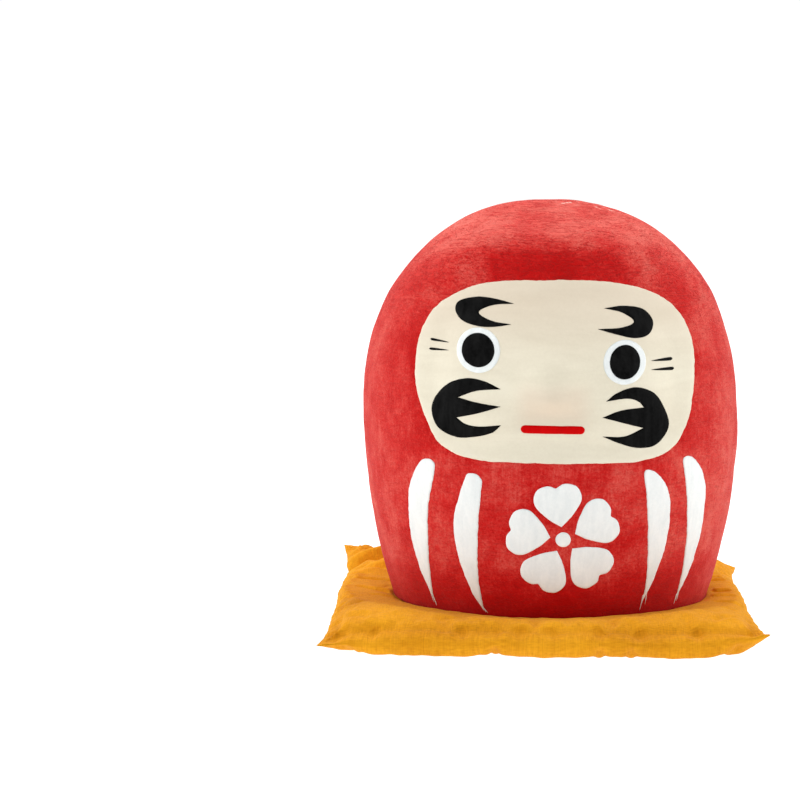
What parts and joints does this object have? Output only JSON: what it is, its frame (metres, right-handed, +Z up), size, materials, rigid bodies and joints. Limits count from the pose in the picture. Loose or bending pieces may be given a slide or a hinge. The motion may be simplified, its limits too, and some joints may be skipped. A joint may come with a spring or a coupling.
{
  "type": "daruma doll",
  "caption": "Nesting papier-mache daruma doll: open-bottomed painted paper dolls stand one inside the next on a square cotton cushion, and each lifts off.",
  "frame": {"origin": "middle of the cushion's underside, at table height, on the dolls' shared axis", "axes": "+Z up; the dolls' faces look along -Y; +X is the doll's own left, which is on the viewer's right"},
  "size_m": [0.108, 0.108, 0.1055],
  "materials": {
    "red_paint_on_paper": "matte",
    "raw_card": "matte",
    "cream_paint": "satin",
    "white_paint": "matte",
    "black_paint": "gloss",
    "lip_red_paint": "satin",
    "gold_cotton": "matte",
    "cotton_wadding": "matte",
    "dried_clay": "matte"
  },
  "bodies": {
    "cushion": {"cushion_top_panel": "gold_cotton", "cushion_bottom_panel": "gold_cotton", "cushion_wadding": "cotton_wadding"},
    "small_doll": {"small_shell": "red_paint_on_paper", "small_face_ground": "cream_paint", "small_eye_whites": "white_paint", "small_pupils": "black_paint", "small_black_marks": "black_paint", "small_mouth": "lip_red_paint", "small_robe_marks": "white_paint", "small_clay_weight": "dried_clay", "small_base_disc": "raw_card"},
    "medium_doll": {"medium_shell": "red_paint_on_paper", "medium_face_ground": "cream_paint", "medium_eye_whites": "white_paint", "medium_pupils": "black_paint", "medium_black_marks": "black_paint", "medium_mouth": "lip_red_paint", "medium_robe_marks": "white_paint"},
    "large_doll": {"large_shell": "red_paint_on_paper", "large_face_ground": "cream_paint", "large_eye_whites": "white_paint", "large_left_pupil": "black_paint", "large_right_pupil": "black_paint", "large_eyebrows": "black_paint", "large_cheek_whiskers": "black_paint", "large_eye_creases": "black_paint", "large_mouth": "lip_red_paint", "large_robe_stripes": "white_paint", "large_belly_blossom": "white_paint"}
  },
  "joints": [
    {"name": "small_lift", "type": "slide", "parent": "cushion", "child": "small_doll", "axis": [0, 0, 1], "range_m": [0, 0.06]},
    {"name": "medium_lift", "type": "slide", "parent": "small_doll", "child": "medium_doll", "axis": [0, 0, 1], "range_m": [0, 0.065]},
    {"name": "large_lift", "type": "slide", "parent": "medium_doll", "child": "large_doll", "axis": [0, 0, 1], "range_m": [0, 0.085]}
  ]
}
